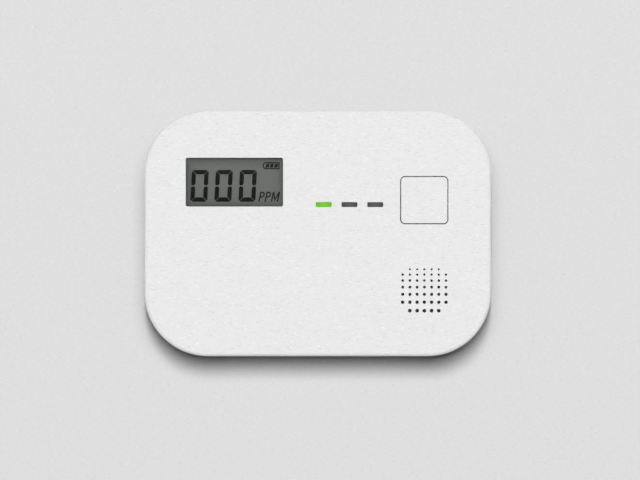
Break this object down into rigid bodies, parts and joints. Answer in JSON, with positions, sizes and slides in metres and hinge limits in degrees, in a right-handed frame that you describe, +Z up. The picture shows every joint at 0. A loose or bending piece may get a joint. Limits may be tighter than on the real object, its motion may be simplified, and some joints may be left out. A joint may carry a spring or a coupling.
{
  "type": "carbon monoxide detector",
  "caption": "White wall-mounted gas alarm with a digital display, three status lamps, a square test button, a sounder grille and a hook-on bracket.",
  "frame": {"origin": "on the wall plane, at the back of the bracket, level with the middle of the front cover", "axes": "+X to the right seen from the front, +Y into the wall, +Z up; the alarm is in front of the wall, at negative Y"},
  "size_m": [0.12, 0.037, 0.085],
  "materials": {
    "bracket_plastic": "white ABS, finely spark-eroded",
    "housing_plastic": "white ABS, finely spark-eroded",
    "cover_plastic": "white ABS, very fine satin texture",
    "door_plastic": "white ABS, finely spark-eroded",
    "button_plastic": "white ABS, satin",
    "window_plastic": "clear acrylic, polished",
    "polarizer_film": "neutral grey film",
    "lcd_glass": "polished",
    "reflector_film": "brushed reflector foil",
    "holder_plastic": "natural nylon",
    "zebra_rubber": "layered silicone connector",
    "lit_green_plastic": "clear acrylic, lit green from behind",
    "smoked_plastic": "grey translucent acrylic",
    "black_rubber": "matte",
    "led_green": "chip lamp, clear lens",
    "led_amber": "chip lamp, clear lens",
    "led_red": "chip lamp, clear lens",
    "board_laminate": "glass-epoxy with green solder mask",
    "black_plastic": "moulded",
    "plated_steel": "bright nickel plate",
    "mesh_fabric": "fine black mesh",
    "brass_sheet": "rolled",
    "piezo_ceramic": "silvered ceramic",
    "red_insulation": "smooth insulation",
    "sensor_metal": "satin nickel plate",
    "membrane_film": "porous white film",
    "gold_pins": "gold flash",
    "chip_plastic": "moulded epoxy",
    "capacitor_can": "dark shrink sleeve over an aluminium can",
    "copper_winding": "enamelled copper wire",
    "ferrite": "dull grey",
    "cell_metal": "bright nickel plate",
    "cell_sleeve": "printed shrink sleeve, plain",
    "screw_steel": "zinc plate",
    "label_paper": "plain silver-grey label"
  },
  "bodies": {
    "bracket": {"wall_bracket": "bracket_plastic"},
    "unit": {"rear_housing": "housing_plastic", "front_cover": "cover_plastic", "display_window": "window_plastic", "lcd_polarizer": "polarizer_film", "lcd_front_glass": "lcd_glass", "lcd_rear_glass": "lcd_glass", "lcd_reflector": "reflector_film", "lcd_holder": "holder_plastic", "zebra_strip": "zebra_rubber", "green_light_pipe": "lit_green_plastic", "amber_light_pipe": "smoked_plastic", "red_light_pipe": "smoked_plastic", "light_shield": "black_rubber", "green_led": "led_green", "amber_led": "led_amber", "red_led": "led_red", "circuit_board": "board_laminate", "switch_body": "black_plastic", "switch_cover": "plated_steel", "dust_mesh": "mesh_fabric", "buzzer_housing": "black_plastic", "piezo_disc": "brass_sheet", "piezo_ceramic": "piezo_ceramic", "buzzer_wire_red": "red_insulation", "buzzer_wire_black": "black_rubber", "sensor_can": "sensor_metal", "sensor_base": "black_plastic", "sensor_membrane": "membrane_film", "sensor_pins": "gold_pins", "microcontroller": "chip_plastic", "microcontroller_legs": "plated_steel", "capacitors": "capacitor_can", "step_up_coil": "copper_winding", "coil_core": "ferrite", "small_chips": "chip_plastic", "upper_cell": "cell_metal", "upper_cell_sleeve": "cell_sleeve", "lower_cell": "cell_metal", "lower_cell_sleeve": "cell_sleeve", "bridge_contact": "plated_steel", "bridge_spring": "plated_steel", "positive_contact": "plated_steel", "negative_contact": "plated_steel", "negative_spring": "plated_steel", "case_screws": "screw_steel", "board_screws": "screw_steel", "rating_label": "label_paper"},
    "door": {"battery_door": "door_plastic"},
    "button": {"test_button": "button_plastic"},
    "plunger": {"switch_plunger": "black_plastic"}
  },
  "joints": [
    {"name": "unit_lift", "type": "slide", "parent": "bracket", "child": "unit", "axis": [0, 0, 1], "range_m": [0, 0.006]},
    {"name": "door_slide", "type": "slide", "parent": "unit", "child": "door", "axis": [0, 0, -1], "range_m": [0, 0.034]},
    {"name": "button_press", "type": "slide", "parent": "unit", "child": "button", "axis": [0, 1, 0], "range_m": [0, 0.0008], "stiffness_N_per_m": 2000, "springref_m": -0.0005},
    {"name": "plunger_press", "type": "slide", "parent": "unit", "child": "plunger", "axis": [0, 1, 0], "range_m": [0, 0.0008]}
  ],
  "couplings": [
    {"joint": "plunger_press", "follows": "button_press", "ratio": 1}
  ]
}
